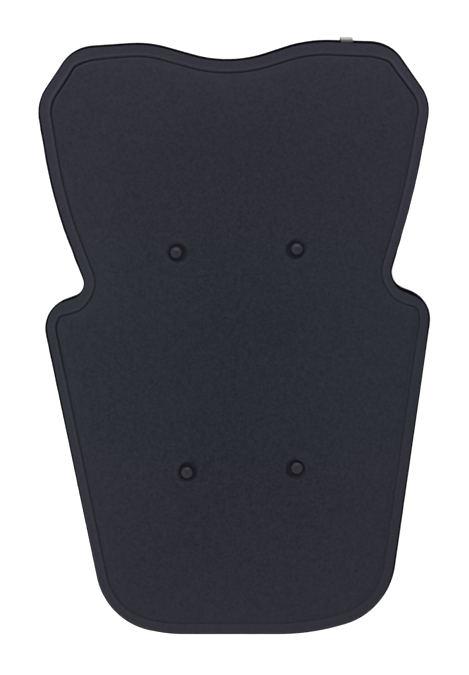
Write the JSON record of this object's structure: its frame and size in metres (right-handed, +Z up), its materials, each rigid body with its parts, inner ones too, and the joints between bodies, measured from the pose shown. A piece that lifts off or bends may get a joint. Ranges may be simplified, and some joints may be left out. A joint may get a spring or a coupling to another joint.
{
  "type": "motorcycle back protector",
  "caption": "Shaped foam back protector insert for a motorcycle jacket, with a pressed border groove, waist notches and snap rivets holding its layers.",
  "frame": {"origin": "middle of the outline's box, on the back skin's outer face, which the part lies on", "axes": "+Z up, out of the face with the rivet heads; +Y towards the neck edge; +X to the right seen from above"},
  "size_m": [0.3036, 0.4606, 0.0174],
  "materials": {
    "knit_fabric": "matte",
    "lining_fabric": "matte",
    "soft_foam": "matte",
    "impact_foam": "matte",
    "nylon": "satin",
    "woven_tape": "matte",
    "label": "satin"
  },
  "bodies": {
    "root": {"back_skin": "lining_fabric", "backing_foam": "soft_foam", "impact_core": "impact_foam", "face_foam": "soft_foam", "face_skin": "knit_fabric", "rivet_stud_upper_left": "nylon", "rivet_stud_upper_right": "nylon", "rivet_stud_lower_left": "nylon", "rivet_stud_lower_right": "nylon", "rivet_cap_upper_left": "nylon", "rivet_cap_upper_right": "nylon", "rivet_cap_lower_left": "nylon", "rivet_cap_lower_right": "nylon", "edge_tab": "woven_tape", "marking_label": "label"}
  },
  "joints": []
}
